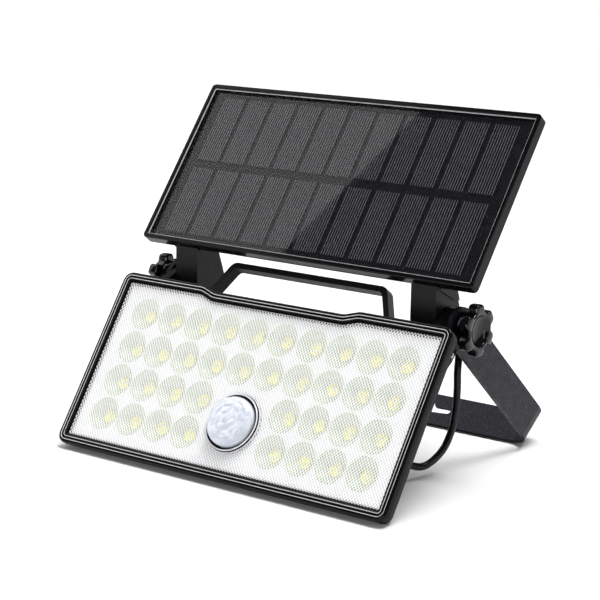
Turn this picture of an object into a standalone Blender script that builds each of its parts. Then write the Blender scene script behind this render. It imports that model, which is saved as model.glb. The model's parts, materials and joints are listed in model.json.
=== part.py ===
"""Folding solar flood light: lamp head, solar panel and floor bracket on one pivot line."""
import math

import bmesh
import bpy
from mathutils import Matrix, Vector

MM = 0.001

# Stance
LAMP_TILT = math.radians(35.1)
PANEL_TILT = math.radians(38.2)
ARM_DROP = math.radians(42.4)

# Lamp housing: width, height, corner radius and the dip in its top edge
LAMP_W = 200.0
LAMP_H = 94.6
LAMP_CORNER = 5.0
DIP_TOP = 47.3
DIP_BOTTOM = 39.1
DIP_DEPTH = 2.6
RIM_INSET = 0.6
RIM_DEPTH = 7.0
FLOOR_Z = RIM_DEPTH * math.sin(LAMP_TILT) - RIM_INSET * math.cos(LAMP_TILT)

# Lamps behind the lens
CUP_PITCH_U = 17.5
CUP_PITCH_V = 18.2
CUP_MOUTH_R = 8.1
CUP_FOOT_R = 3.6
CUP_COLUMNS = 10
CUP_ROWS = 4
TRAY_FRONT = 2.8
TRAY_BACK = 8.0
SENSOR_V = 29.0
SENSOR_CLEAR_R = 15.3

# Panel
PANEL_W = 201.5
PANEL_H = 93.8
PANEL_CORNER = 2.2
PANEL_THICK = 5.6
PANEL_BACK = 6.4
CELL_COLUMNS = 11
CELL_PITCH = 16.7
CELL_W = 15.1
CELL_H = 39.5
CELL_ROW_GAP = 3.4

# Pivot line: behind the lamp face and above its lower edge, and the same from the panel
LAMP_TO_PIVOT = (24.7, 103.6)
PANEL_TO_PIVOT = (24.1, -10.2)

# Stack of parts along the pivot line, from the leg outwards
LEG_INNER = 65.5
LEG_OUTER = 80.5
LEG_STEP = 0.8
EAR_INNER = 81.0
EAR_OUTER = 85.0
EAR_R = 8.4
ARM_INNER = 85.4
ARM_OUTER = 87.8
BOLT_R = 3.0
BOLT_HOLE_R = 3.3
KNOB_BASE = 89.4
KNOB_FACE = 98.2
KNOB_R = 12.5

# Bracket strap
STRAP_W = 19.0
BEND_R = 12.0
BEND_SKEW = 0.22
EYE_R = 9.8

# Handle
HANDLE_FRONT = 14.0
HANDLE_BACK = 20.0
HANDLE_TOP = 113.8
HANDLE_SCREW = (57.5, 88.4)
HANDLE_HOLE_R = 1.5

# Battery bay: half width and half height, the cells' heights and their depth
BAY_HALF = (42.0, 25.5)
BAY_ROOM_HALF = (35.8, 19.8)
BAY_V = 49.0
BATTERY_ROWS = (39.6, 58.4)
BATTERY_DEPTH = 23.4

# Cable
CABLE_R = 1.8
GLAND_LONG = 6.8
LAMP_GLAND = (68.0, 39.4)
PANEL_GLAND = (60.0, 34.0)
GLAND_HOLE_R = 3.3

# Controls on the back of the lamp
BUTTON_AT = (-60.0, 52.0)
USB_AT = (-60.0, 32.0)
PLATEAU = 22.0
BUTTON_HOLE_R = 5.3
FLAP_HINGE = (23.3, 5.9)
BOARD_FACE = 12.0

# Wall fixing
KEYHOLE_U = 20.5
KEYHOLE_R = 4.8
KEYHOLE_SLOT_R = 1.65
KEYHOLE_SLOT_END = 13.0
MIDDLE_HOLE_R = 3.2

# Screws: distance of the housing screws from the edge, and the panel legs' screws
RIM_SCREW = 2.6
LEG_SCREW_U = (69.5, 76.5)
LEG_SCREW_V = 24.0
LEG_EYE_R = 10.3
BOLT_HEAD_ROOM = 5.7


def frame_at(tilt, y, z):
    """Local X right, Y into the body, Z up its face; tilted back by tilt."""
    return Matrix.Translation((0, y, z)) @ Matrix.Rotation(-tilt, 4, 'X')


LAMP = frame_at(LAMP_TILT, 0, FLOOR_Z)
PIVOT = LAMP @ Vector((0, *LAMP_TO_PIVOT))
ARM = frame_at(ARM_DROP, PIVOT.y, PIVOT.z)
PANEL = frame_at(PANEL_TILT, PIVOT.y, PIVOT.z)
PANEL = PANEL @ Matrix.Translation((0, -PANEL_TO_PIVOT[0], -PANEL_TO_PIVOT[1]))
ARM_REACH = (PIVOT.z - STRAP_W / 2 * math.cos(ARM_DROP)) / math.sin(ARM_DROP)
ARM_REACH = ARM_REACH + BEND_SKEW * STRAP_W / 2

MATERIALS = {
    "black_plastic": ((0.020, 0.020, 0.022, 1), 0.35, 0.0),
    "satin_plastic": ((0.045, 0.045, 0.048, 1), 0.5, 0.0),
    "powder_coat": ((0.075, 0.077, 0.083, 1), 0.55, 0.3),
    "clear_lens": ((0.93, 0.95, 0.96, 0.35), 0.08, 0.0),
    "reflector_white": ((0.86, 0.88, 0.87, 1), 0.3, 0.0),
    "board_white": ((0.80, 0.82, 0.78, 1), 0.5, 0.0),
    "board_green": ((0.03, 0.16, 0.07, 1), 0.5, 0.0),
    "dome_milky": ((0.80, 0.85, 0.92, 1), 0.25, 0.0),
    "steel": ((0.62, 0.63, 0.65, 1), 0.3, 1.0),
    "brass": ((0.75, 0.58, 0.28, 1), 0.3, 1.0),
    "rubber": ((0.025, 0.025, 0.027, 1), 0.75, 0.0),
    "cell_wrap": ((0.06, 0.22, 0.50, 1), 0.4, 0.0),
    "solar_cell": ((0.012, 0.013, 0.022, 1), 0.25, 0.1),
    "panel_glass": ((0.75, 0.80, 0.84, 0.35), 0.03, 0.0),
}

BUILT = []


def clear_scene():
    for obj in list(bpy.data.objects):
        bpy.data.objects.remove(obj, do_unlink=True)


def material(name):
    found = bpy.data.materials.get(name)
    if found:
        return found
    color, rough, metal = MATERIALS[name]
    made = bpy.data.materials.new(name)
    made.use_nodes = True
    shader = made.node_tree.nodes["Principled BSDF"]
    shader.inputs["Base Color"].default_value = color
    shader.inputs["Roughness"].default_value = rough
    shader.inputs["Metallic"].default_value = metal
    made.diffuse_color = color
    return made


def solid(name, verts, faces, place=Matrix.Identity(4)):
    """One closed mesh from millimetre points given in the place frame."""
    scale = Matrix.Scale(MM, 4)
    mesh = bpy.data.meshes.new(name)
    mesh.from_pydata([scale @ (place @ Vector(v)) for v in verts], [], faces)
    shape = bmesh.new()
    shape.from_mesh(mesh)
    bmesh.ops.recalc_face_normals(shape, faces=shape.faces)
    big = [face for face in shape.faces if len(face.verts) > 4]
    bmesh.ops.triangulate(shape, faces=big)
    shape.to_mesh(mesh)
    shape.free()
    obj = bpy.data.objects.new(name, mesh)
    bpy.context.scene.collection.objects.link(obj)
    return obj


def finish(obj, slot):
    obj.data.materials.clear()
    obj.data.materials.append(material(slot))
    for face in obj.data.polygons:
        face.material_index = 0
    BUILT.append(obj)
    return obj


def loft(name, loops, place, ring=False):
    """Skin equal-length loops; cap both ends, or join last to first for a ring."""
    count = len(loops[0])
    verts = [point for loop in loops for point in loop]
    faces = []
    pairs = len(loops) if ring else len(loops) - 1
    for i in range(pairs):
        low = i * count
        high = ((i + 1) % len(loops)) * count
        for j in range(count):
            k = (j + 1) % count
            faces.append((low + j, low + k, high + k, high + j))
    if not ring:
        faces.append(tuple(range(count)))
        faces.append(tuple(range(len(verts) - count, len(verts))))
    return solid(name, verts, faces, place)


def prism_x(name, outline, x0, x1, place):
    """Extrude a (depth, height) outline across X."""
    loops = [[(x, d, v) for d, v in outline] for x in (x0, x1)]
    return loft(name, loops, place)


def prism_y(name, outline, d0, d1, place):
    """Extrude a (width, height) outline through the depth."""
    loops = [[(u, d, v) for u, v in outline] for d in (d0, d1)]
    return loft(name, loops, place)


def box_points(low, high):
    (x0, y0, z0), (x1, y1, z1) = low, high
    return [(x0, y0, z0), (x1, y0, z0), (x1, y1, z0), (x0, y1, z0),
            (x0, y0, z1), (x1, y0, z1), (x1, y1, z1), (x0, y1, z1)]


BOX_FACES = [(0, 3, 2, 1), (4, 5, 6, 7), (0, 1, 5, 4), (1, 2, 6, 5), (2, 3, 7, 6), (3, 0, 4, 7)]


def boxes(name, spans, place):
    """Several separate boxes in one mesh, for one boolean step."""
    verts = []
    faces = []
    for low, high in spans:
        base = len(verts)
        verts.extend(box_points(low, high))
        faces.extend(tuple(base + i for i in face) for face in BOX_FACES)
    return solid(name, verts, faces, place)


def circle(radius, count, turn=0.0):
    step = 2 * math.pi / count
    return [(radius * math.cos(turn + i * step), radius * math.sin(turn + i * step))
            for i in range(count)]


def turned(name, profile, place, count=24, ring=False):
    """Revolve (radius, depth) about the local Y axis."""
    loops = [[(a, d, b) for a, b in circle(r, count)] for r, d in profile]
    return loft(name, loops, place, ring)


def cylinders(name, items, place, count=16):
    """Separate tapered pins along local Y: (u, v, radius0, depth0, radius1, depth1)."""
    verts = []
    faces = []
    for u, v, r0, d0, r1, d1 in items:
        base = len(verts)
        verts.extend((u + a, d0, v + b) for a, b in circle(r0, count))
        verts.extend((u + a, d1, v + b) for a, b in circle(r1, count))
        faces.append(tuple(base + i for i in range(count)))
        faces.append(tuple(base + count + i for i in reversed(range(count))))
        for i in range(count):
            k = (i + 1) % count
            faces.append((base + i, base + count + i, base + count + k, base + k))
    return solid(name, verts, faces, place)


def combine(obj, other, operation):
    step = obj.modifiers.new("step", 'BOOLEAN')
    step.operation = operation
    step.solver = 'EXACT'
    step.object = other
    graph = bpy.context.evaluated_depsgraph_get()
    mesh = bpy.data.meshes.new_from_object(obj.evaluated_get(graph))
    obj.modifiers.clear()
    obj.data = mesh
    bpy.data.objects.remove(other, do_unlink=True)
    return obj


def cut(obj, other):
    return combine(obj, other, 'DIFFERENCE')


def weld(obj, other):
    return combine(obj, other, 'UNION')


def corner_points(cx, cy, radius, start, steps):
    return [(cx + radius * math.cos(start + math.pi / 2 * i / steps),
             cy + radius * math.sin(start + math.pi / 2 * i / steps)) for i in range(steps + 1)]


def lamp_outline(inset, steps=4):
    """Housing outline with its top dip, drawn inset from the outer edge."""
    radius = max(LAMP_CORNER - inset, 0.5)
    side = LAMP_W / 2 - inset - radius
    low = inset + radius
    high = LAMP_H - inset - radius
    top = LAMP_H - inset
    shift = 0.155 * inset
    points = corner_points(-side, low, radius, math.pi, steps)
    points += corner_points(side, low, radius, -math.pi / 2, steps)
    points += corner_points(side, high, radius, 0, steps)
    points += [(DIP_TOP + shift, top), (DIP_BOTTOM + shift, top - DIP_DEPTH)]
    points += [(-DIP_BOTTOM - shift, top - DIP_DEPTH), (-DIP_TOP - shift, top)]
    points += corner_points(-side, high, radius, math.pi / 2, steps)
    return points


def panel_outline(inset, steps=3):
    radius = max(PANEL_CORNER - inset, 0.4)
    side = PANEL_W / 2 - inset - radius
    low = inset + radius
    high = PANEL_H - inset - radius
    points = corner_points(-side, low, radius, math.pi, steps)
    points += corner_points(side, low, radius, -math.pi / 2, steps)
    points += corner_points(side, high, radius, 0, steps)
    points += corner_points(-side, high, radius, math.pi / 2, steps)
    return points


def outlined(name, outline, profile, place, ring):
    """Skin an outline through (inset, depth) steps."""
    loops = [[(u, depth, v) for u, v in outline(inset)] for inset, depth in profile]
    return loft(name, loops, place, ring)


def cup_centres():
    """LED positions; the two middle columns of the lower rows give way to the sensor."""
    centres = []
    for row in range(CUP_ROWS):
        v = LAMP_H / 2 + (1.5 - row) * CUP_PITCH_V
        for column in range(CUP_COLUMNS):
            if row >= 2 and column in (4, 5):
                continue
            centres.append(((column - 4.5) * CUP_PITCH_U, v))
    return centres


def housing_screw_points():
    side = LAMP_W / 2 - RIM_SCREW
    top = LAMP_H - RIM_SCREW
    return [(-side, 9.0), (side, 9.0), (-side, 84.0), (side, 84.0), (-70.0, top), (70.0, top)]


def build_bezel():
    profile = [(0.0, 3.6), (0.0, 0.9), (0.35, 0.25), (1.0, 0.0), (1.9, 0.0), (2.3, 0.5),
               (3.0, 0.5), (3.3, 0.15), (4.1, 0.15), (4.9, 0.9), (5.3, 1.25), (4.4, 1.25),
               (4.4, 3.6)]
    bezel = outlined("front_bezel", lamp_outline, profile, LAMP, True)
    holes = [(u, v, 0.95, 1.4, 0.95, 4.5) for u, v in housing_screw_points()]
    finish(cut(bezel, cylinders("holes", holes, LAMP, 12)), "black_plastic")


def build_lens():
    lens = outlined("front_lens", lamp_outline, [(4.7, 1.55), (4.7, 2.5)], LAMP, False)
    hole = cylinders("hole", [(0, SENSOR_V, SENSOR_CLEAR_R, 0, SENSOR_CLEAR_R, 4)], LAMP, 32)
    finish(cut(lens, hole), "clear_lens")
    profile = [(4.8, 2.8), (4.8, 3.6), (6.6, 3.6), (6.6, 2.8)]
    finish(outlined("lens_gasket", lamp_outline, profile, LAMP, True), "rubber")


def build_reflector():
    profile = [(7.3, TRAY_FRONT), (7.3, TRAY_BACK)]
    tray = outlined("reflector_tray", lamp_outline, profile, LAMP, False)
    span = TRAY_BACK - TRAY_FRONT
    flare = (CUP_MOUTH_R - CUP_FOOT_R) / span
    over = 0.5
    front_r = CUP_MOUTH_R + over * flare
    back_r = CUP_FOOT_R - over * flare
    cups = [(u, v, front_r, TRAY_FRONT - over, back_r, TRAY_BACK + over)
            for u, v in cup_centres()]
    tray = cut(tray, cylinders("cups", cups, LAMP, 12))
    hole = (0, SENSOR_V, SENSOR_CLEAR_R, 0, SENSOR_CLEAR_R, 12)
    tray = cut(tray, cylinders("hole", [hole], LAMP, 32))
    finish(tray, "reflector_white")


def build_led_board():
    outline = [(-89.0, 11.0), (89.0, 11.0), (89.0, 81.0), (-89.0, 81.0)]
    board = prism_y("led_board", outline, 8.3, 9.5, LAMP)
    chips = [((u - 1.6, 7.5, v - 1.6), (u + 1.6, 8.8, v + 1.6)) for u, v in cup_centres()]
    finish(weld(board, boxes("chips", chips, LAMP)), "board_white")


def build_sensor():
    at = LAMP @ Matrix.Translation((0, 0, SENSOR_V))
    collar = [(13.1, 0.9), (13.4, 0.5), (14.6, 0.5), (14.9, 0.9), (14.9, 7.9), (13.1, 7.9)]
    finish(turned("pir_collar", collar, at, 32, True), "black_plastic")
    dome = [(12.6, 7.9), (12.6, 0.8), (11.9, -0.9), (10.0, -2.7), (7.2, -4.0), (3.6, -4.7),
            (0.6, -4.9), (0.5, -3.9), (3.4, -3.7), (6.8, -3.1), (9.3, -2.0), (11.0, -0.4),
            (11.6, 1.0), (11.6, 7.9)]
    finish(turned_shell("pir_dome", dome, at, 20), "dome_milky")
    can = [(4.9, 8.0), (4.9, 7.5), (4.2, 7.3), (4.2, 4.6), (3.8, 4.2)]
    finish(turned("pir_sensor", can, at, 20), "steel")


def turned_shell(name, profile, place, count):
    """Revolve a shell whose outer and inner apexes are capped, open at its rim."""
    half = len(profile) // 2
    outer = profile[:half]
    inner = profile[half:]
    order = list(reversed(outer)) + list(reversed(inner))
    return turned(name, order, place, count)


def shell_outer():
    return [(RIM_INSET, 3.9), (RIM_INSET, RIM_DEPTH), (1.0, 7.5), (5.0, 7.5), (7.0, 9.0),
            (13.0, 17.5), (16.0, 21.0), (18.0, PLATEAU)]


def shell_inner():
    return [(7.0, 3.9), (7.0, 7.8), (9.8, 10.0), (15.9, 18.0), (18.4, 19.8)]


def ear_outline():
    """Ear round the pivot, its front edge tangent to the eye and its foot in the shell wall."""
    d, v = LAMP_TO_PIVOT
    eye = [(d + EAR_R * math.cos(t), v + EAR_R * math.sin(t))
           for t in [math.radians(145 - 13 * i) for i in range(13)]]
    foot = [(31.0, 88.0), (26.0, 76.0), (22.5, 70.0), (20.9, 70.0), (20.7, 76.9),
            (17.4, 80.6), (9.5, 86.8), (7.0, 89.3), (6.2, 91.8)]
    return eye + foot


def build_rear_shell():
    """Tray with tapered back, battery bay, ears, handle seats and all its openings."""
    profile = list(reversed(shell_outer())) + shell_inner()
    shell = outlined("rear_shell", lamp_outline, profile, LAMP, False)
    half_u, half_v = BAY_HALF
    square = ((-1, -1), (1, -1), (1, 1), (-1, 1))
    bay = [[(u * (half_u - inset), depth, BAY_V + v * (half_v - inset)) for u, v in square]
           for inset, depth in ((0.0, 21.0), (1.0, 30.0), (4.0, 34.8))]
    shell = weld(shell, loft("bay", bay, LAMP))
    seat = [(7.2, 92.4), (7.2, 88.8), (9.4, 86.9), (13.7, 83.5), (13.7, 92.4)]
    for side in (-1, 1):
        low, high = sorted((side * EAR_INNER, side * EAR_OUTER))
        shell = weld(shell, prism_x("ear", ear_outline(), low, high, LAMP))
        low, high = sorted((side * 52.3, side * 62.7))
        shell = weld(shell, prism_x("seat", seat, low, high, LAMP))
    ribs = [((u - 0.9, 21.5, 20.5), (u + 0.9, 23.0, 74.5)) for u in (-77, -71, 47, 52, 57, 77)]
    shell = weld(shell, boxes("ribs", ribs, LAMP))
    half_u, half_v = BAY_ROOM_HALF
    room = [((-half_u, 15, BAY_V - half_v), (half_u, 33.0, BAY_V + half_v))]
    shell = cut(shell, boxes("bay_room", room, LAMP))
    pins = [(u, v, 1.2, 3, 1.2, 8) for u, v in housing_screw_points()]
    pins += [(side * HANDLE_SCREW[0], HANDLE_SCREW[1], HANDLE_HOLE_R, 10.0, HANDLE_HOLE_R, 14.5)
             for side in (-1, 1)]
    pins += [(*LAMP_GLAND, GLAND_HOLE_R, 18, GLAND_HOLE_R, 24)]
    pins += [(*BUTTON_AT, BUTTON_HOLE_R, 18, BUTTON_HOLE_R, 24)]
    shell = cut(shell, cylinders("pins", pins, LAMP, 12))
    u, v = USB_AT
    shell = cut(shell, boxes("slot", [((u - 4.9, 18, v - 2.1), (u + 4.9, 24, v + 2.1))], LAMP))
    bore = cylinders("bore", [(0, 0, BOLT_HOLE_R, -90, BOLT_HOLE_R, 90)], pivot_frame(1), 24)
    finish(cut(shell, bore), "satin_plastic")


def pivot_frame(side):
    """Local Y runs outwards along the pivot line from the middle."""
    turn = Matrix.Rotation(-side * math.pi / 2, 4, 'Z')
    return Matrix.Translation(PIVOT) @ turn


def build_internals():
    """Control board with its switch, coil, chip and socket; two cells; the charging port."""
    face = BOARD_FACE
    board = boxes("control_board", [((-78, face - 1.0, 22), (30, face + 0.4, 66))], LAMP)
    u, v = BUTTON_AT
    switch = ((u - 3, face, v - 3), (u + 3, face + 4.0, v + 3))
    coil = ((-52, face, 26), (-42, face + 5.4, 36))
    chip = ((-50, face, 54), (-43, face + 3.0, 62))
    u, v = USB_AT
    socket = ((u - 4, face, v - 3), (u + 4, face + 1.6, v + 3))
    parts = boxes("parts", [switch, coil, chip, socket], LAMP)
    finish(weld(board, parts), "board_green")
    for index, row in enumerate(BATTERY_ROWS, 1):
        axis = LAMP @ Matrix.Translation((0, BATTERY_DEPTH, row))
        axis = axis @ Matrix.Rotation(-math.pi / 2, 4, 'Z')
        cell = [(3.0, -33.4), (3.0, -32.4), (8.6, -32.2), (9.1, -31.6), (9.1, 32.2), (8.6, 32.8)]
        finish(turned(f"battery_cell_{index}", cell, axis, 24), "cell_wrap")
    port = boxes("usb_port", [((u - 4.5, 14.0, v - 1.7), (u + 4.5, 21.6, v + 1.7))], LAMP)
    room = [((u - 4.1, 16.0, v - 1.3), (u + 4.1, 23, v + 1.3))]
    port = cut(port, boxes("room", room, LAMP))
    tongue = [((u - 3.2, 15.0, v - 0.35), (u + 3.2, 20.8, v + 0.35))]
    finish(weld(port, boxes("tongue", tongue, LAMP)), "steel")


def build_button():
    at = LAMP @ Matrix.Translation((BUTTON_AT[0], 0, BUTTON_AT[1]))
    profile = [(1.6, 17.5), (1.6, 19.0), (5.0, 19.2), (5.0, 23.6), (4.6, 24.3), (3.6, 24.7),
               (2.6, 24.5)]
    return finish(turned("power_button", profile, at, 24), "rubber")


def build_usb_flap():
    """Rubber cover with a plug tongue and a hinge roll along its upper edge."""
    u, v = USB_AT
    flap = boxes("usb_flap", [((u - 7.0, 22.4, v - 4.5), (u + 7.0, 23.8, v + 5.6))], LAMP)
    plug = [((u - 3.8, 21.8, v - 1.0), (u + 3.8, 22.9, v + 1.0)),
            ((u - 2.0, 23.4, v - 6.0), (u + 2.0, 24.2, v - 3.0))]
    flap = weld(flap, boxes("plug", plug, LAMP))
    depth, lift = FLAP_HINGE
    axis = LAMP @ Matrix.Translation((u, depth, v + lift)) @ Matrix.Rotation(math.pi / 2, 4, 'Z')
    roll = turned("roll", [(0.9, -6.4), (0.9, 6.4)], axis, 12)
    return finish(weld(flap, roll), "rubber")


def handle_outline():
    right = [(44.6, HANDLE_TOP), (46.6, 113.2), (48.1, 111.6), (57.2, 93.2), (62.3, 92.2),
             (62.3, 84.4), (52.7, 84.4), (52.7, 92.2), (54.2, 92.8), (46.0, 109.1),
             (45.0, 110.4), (43.4, HANDLE_TOP - 3.0)]
    left = [(-u, v) for u, v in reversed(right)]
    return right + left


def build_handle():
    outline = handle_outline()
    handle = prism_y("handle", outline, HANDLE_FRONT, HANDLE_BACK, LAMP)
    u, v = HANDLE_SCREW
    pins = [(side * u, v, HANDLE_HOLE_R, 12, HANDLE_HOLE_R, 24) for side in (-1, 1)]
    finish(cut(handle, cylinders("pins", pins, LAMP, 16)), "satin_plastic")
    for side, word in ((-1, "left"), (1, "right")):
        at = LAMP @ Matrix.Translation((side * u, 0, v))
        screw(f"handle_screw_{word}", at, HANDLE_BACK + 0.2, 1.3, 9.4, 2.6)


def screw(name, at, seat, shank_r, length, head_r):
    """Pan-head screw driven towards local -Y, its head standing off the seat."""
    profile = [(shank_r * 0.5, seat - length), (shank_r, seat - length + 0.8), (shank_r, seat),
               (head_r, seat), (head_r, seat + 0.8), (head_r * 0.7, seat + 1.4)]
    return finish(turned(name, profile, at, 10), "steel")


def build_housing_screws():
    for index, (u, v) in enumerate(housing_screw_points(), 1):
        at = LAMP @ Matrix.Translation((u, 0, v))
        screw(f"housing_screw_{index}", at, 7.7, 0.85, 5.6, 1.8)


def build_gland(name, place, at, wall):
    """Cable gland: sleeve through the wall, hex nut against it and a rounded cap."""
    spot = place @ Matrix.Translation((at[0], wall, at[1]))
    bore = CABLE_R + 0.15
    profile = [(bore, -2.0), (3.0, -2.0), (3.0, 0.3), (6.0, 0.3), (6.0, 3.2), (4.6, 3.4),
               (4.4, 5.4), (3.2, 6.6), (bore, GLAND_LONG)]
    finish(turned(name, profile, spot, 18, True), "black_plastic")


def corner_arc(cx, cy, radius, steps=5):
    return [(cx + radius * math.cos(math.pi / 2 * i / steps),
             cy + radius * math.sin(math.pi / 2 * i / steps)) for i in range(steps + 1)]


def bracket_outline():
    """Closed outline of the bent strap seen along its width, from one eye round to the other."""
    thick = ARM_OUTER - ARM_INNER
    small = BEND_R - thick
    outer = [(ARM_OUTER, 0.0)]
    outer += corner_arc(ARM_OUTER - BEND_R, ARM_REACH - BEND_R, BEND_R)
    inner = [(ARM_INNER, 0.0)]
    inner += corner_arc(ARM_INNER - small, ARM_REACH - thick - small, small)
    back = [(-x, y) for x, y in reversed(outer)] + [(-x, y) for x, y in inner]
    return outer + back + list(reversed(inner))


def strap_loop(n):
    """The outline at one strap edge; the cross bar leans with the bend skew."""
    return [(x, y + (BEND_SKEW * n if y > 1 else 0.0), n) for x, y in bracket_outline()]


def build_bracket():
    loops = [strap_loop(n) for n in (-STRAP_W / 2, STRAP_W / 2)]
    strap = loft("mounting_bracket", loops, ARM)
    for side in (-1, 1):
        eye = [(0, 0, EYE_R, ARM_INNER, EYE_R, ARM_OUTER)]
        strap = weld(strap, cylinders("eye", eye, pivot_frame(side), 28))
    bore = cylinders("bore", [(0, 0, BOLT_HOLE_R, -95, BOLT_HOLE_R, 95)], pivot_frame(1), 24)
    strap = cut(strap, bore)
    near = ARM_REACH - 6
    far = ARM_REACH + 4
    for side in (-1, 1):
        hole = keyhole_outline(side * KEYHOLE_U, side)
        strap = cut(strap, prism_y("keyhole", hole, near, far, ARM))
    middle = [(0, 0, MIDDLE_HOLE_R, near, MIDDLE_HOLE_R, far)]
    finish(cut(strap, cylinders("middle", middle, ARM, 24)), "powder_coat")


def keyhole_outline(centre, side):
    """Round entry with a narrower slot running outwards from it."""
    entry = [(centre + side * KEYHOLE_R * math.cos(t), KEYHOLE_R * math.sin(t) - 0.3)
             for t in [math.radians(24 + 312 * i / 16) for i in range(17)]]
    end = centre + side * KEYHOLE_SLOT_END
    tip = [(end + side * KEYHOLE_SLOT_R * math.cos(t), KEYHOLE_SLOT_R * math.sin(t))
           for t in [math.radians(-90 + 180 * i / 6) for i in range(7)]]
    return entry + tip


def build_panel():
    profile = [(0.0, PANEL_THICK), (0.0, 0.5), (0.5, 0.0), (2.0, 0.0), (2.4, 0.4), (2.4, 1.0),
               (1.6, 1.0), (1.6, PANEL_THICK)]
    finish(outlined("panel_frame", panel_outline, profile, PANEL, True), "black_plastic")
    glass = outlined("panel_glass", panel_outline, [(1.9, 1.3), (1.9, 2.3)], PANEL, False)
    finish(glass, "panel_glass")
    sheet = outlined("solar_cells", panel_outline, [(3.2, 2.8), (3.2, 3.3)], PANEL, False)
    spans = []
    for column in range(CELL_COLUMNS):
        u = (column - (CELL_COLUMNS - 1) / 2) * CELL_PITCH
        for low in (PANEL_H / 2 + CELL_ROW_GAP / 2, PANEL_H / 2 - CELL_ROW_GAP / 2 - CELL_H):
            spans.append(((u - CELL_W / 2, 2.6, low), (u + CELL_W / 2, 3.1, low + CELL_H)))
    finish(weld(sheet, boxes("cells", spans, PANEL)), "solar_cell")
    profile = [(12.0, 6.4), (10.5, 5.9), (2.4, 5.9), (1.9, 5.4), (1.9, 3.6), (3.5, 3.6),
               (3.5, 4.6)]
    back = outlined("panel_back", panel_outline, profile, PANEL, False)
    pins = [(u, v, 1.35, 3, 1.35, 9) for u, v in leg_screw_points()]
    pins += [(*PANEL_GLAND, GLAND_HOLE_R, 3, GLAND_HOLE_R, 9)]
    finish(cut(back, cylinders("pins", pins, PANEL, 16)), "satin_plastic")


def leg_screw_points():
    return [(side * u, LEG_SCREW_V) for side in (-1, 1) for u in LEG_SCREW_U]


def leg_outline():
    """Side view of a panel leg: round the pivot, under the panel's edge and up its back."""
    d, v = PANEL_TO_PIVOT
    eye = [(d + LEG_EYE_R * math.cos(t), v + LEG_EYE_R * math.sin(t))
           for t in [math.radians(217 + 15.5 * i) for i in range(13)]]
    rest = [(31.2, -0.5), (19.6, 7.0), (11.2, 18.5), (9.6, 20.5), (9.6, 28.0), (6.7, 28.0),
            (6.7, -0.4), (3.9, -0.4)]
    return eye + rest


def build_leg(side, word):
    """Panel leg with a T-slot open to the rear that takes the bolt and its head."""
    low, high = sorted((side * LEG_INNER, side * LEG_OUTER))
    leg = prism_x(f"panel_leg_{word}", leg_outline(), low, high, PANEL)
    step = [(3.0, -1.2), (-2.0, -30.0), (40.0, -30.0), (40.0, 10.5), (20.4, 1.6)]
    low, high = sorted((side * (LEG_OUTER - LEG_STEP), side * (LEG_OUTER + 3)))
    leg = cut(leg, prism_x("step", step, low, high, PANEL))
    d, v = PANEL_TO_PIVOT
    for half, near, far in ((BOLT_HEAD_ROOM, 69.0, 73.2), (BOLT_HOLE_R, 73.0, 95.0)):
        low, high = sorted((side * near, side * far))
        slot = [(d + half * math.cos(t), v + half * math.sin(t))
                for t in [math.radians(90 + 18 * i) for i in range(11)]]
        slot += [(d + 20, v - half), (d + 20, v + half)]
        leg = cut(leg, prism_x("slot", slot, low, high, PANEL))
    pins = [(u, v, 1.55, 5, 1.55, 14) for u, v in leg_screw_points() if u * side > 0]
    finish(cut(leg, cylinders("pins", pins, PANEL, 16)), "satin_plastic")


def build_leg_screws():
    for index, (u, v) in enumerate(leg_screw_points(), 1):
        at = PANEL @ Matrix.Translation((u, 0, v))
        screw(f"leg_screw_{index}", at, 9.8, 1.2, 5.9, 2.4)


def build_pivot(side, word):
    at = pivot_frame(side)
    rod = [(BOLT_R, 71.0), (BOLT_R, 92.8), (BOLT_R - 0.6, 93.5)]
    shank = turned(f"hinge_bolt_{word}", rod, at, 24)
    hexes = [[(a, d, b) for a, b in circle(5.2, 6, math.radians(30))] for d in (69.6, 72.8)]
    finish(weld(shank, loft("hex", hexes, at)), "steel")
    ring = [(BOLT_HOLE_R, 80.05), (9.0, 80.05), (9.0, 80.7), (BOLT_HOLE_R, 80.7)]
    finish(turned(f"friction_washer_{word}", ring, at, 28, True), "rubber")


def build_clamp_washer(side, word):
    ring = [(BOLT_HOLE_R, 88.1), (7.8, 88.1), (7.8, 89.1), (BOLT_HOLE_R, 89.1)]
    return finish(turned(f"clamp_washer_{word}", ring, pivot_frame(side), 28, True), "steel")


def star_radius(angle, scale=1.0):
    lobe = 0.5 + 0.5 * math.tanh(2.4 * math.cos(6 * (angle - math.pi / 2)) + 0.3)
    return scale * (9.3 + (KNOB_R - 9.3) * lobe)


def build_knob(side, word):
    """Six-lobed knob: round hub against the washer, star head and a dished outer face."""
    count = 36
    angles = [2 * math.pi * i / count for i in range(count)]
    round_steps = [(4.75, 94.3), (4.75, KNOB_BASE), (8.0, KNOB_BASE), (8.5, 89.9), (8.6, 92.6)]
    star_steps = [(0.93, 92.9), (1.0, 93.5), (1.0, 97.3), (0.95, KNOB_FACE - 0.1)]
    bowl_steps = [(8.1, KNOB_FACE), (7.4, 97.9), (6.6, 96.6), (4.4, 95.6), (1.8, 95.3)]
    loops = [[(r * math.cos(t), d, r * math.sin(t)) for t in angles] for r, d in round_steps]
    loops += [[(star_radius(t, k) * math.cos(t), d, star_radius(t, k) * math.sin(t))
               for t in angles] for k, d in star_steps]
    loops += [[(r * math.cos(t), d, r * math.sin(t)) for t in angles] for r, d in bowl_steps]
    at = pivot_frame(side)
    knob = finish(loft(f"knob_{word}", loops, at), "black_plastic")
    ring = [(BOLT_R + 0.1, 89.6), (4.6, 89.6), (4.6, 94.0), (BOLT_R + 0.1, 94.0)]
    insert = finish(turned(f"knob_insert_{word}", ring, at, 24, True), "brass")
    return [knob, insert]


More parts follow.
